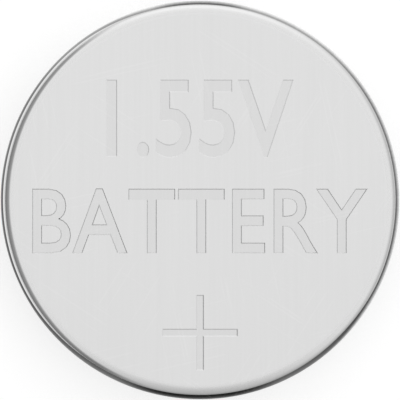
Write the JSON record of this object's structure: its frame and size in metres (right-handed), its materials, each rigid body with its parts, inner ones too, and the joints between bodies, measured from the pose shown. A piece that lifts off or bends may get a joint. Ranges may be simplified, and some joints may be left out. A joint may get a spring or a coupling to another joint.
{
  "type": "button cell",
  "caption": "Low round button cell: a crimped nickel-plated can with a flat positive face and a rounded rim, closed by an insulated cup whose raised flat face is the negative contact.",
  "frame": {"origin": "centre of the flat negative terminal that the cell rests on, on its axis", "axes": "+Z along the cell's axis, from the negative terminal to the positive face; the plus sign stands upright along +Y and is read from above"},
  "size_m": [0.0078, 0.0078, 0.0014],
  "materials": {
    "can_nickel": "satin nickel plate, polished round the corner",
    "cup_nickel": "smooth rolled nickel face",
    "gasket_nylon": "natural nylon",
    "silver_oxide": "pressed powder",
    "barrier_film": "thin membrane",
    "absorbent_felt": "wet nonwoven",
    "zinc_gel": "grey paste of metal powder"
  },
  "bodies": {
    "root": {"cathode_can": "can_nickel", "gasket": "gasket_nylon", "anode_cup": "cup_nickel", "cathode_pellet": "silver_oxide", "barrier_separator": "barrier_film", "absorbent_disc": "absorbent_felt", "anode_gel": "zinc_gel"}
  },
  "joints": []
}
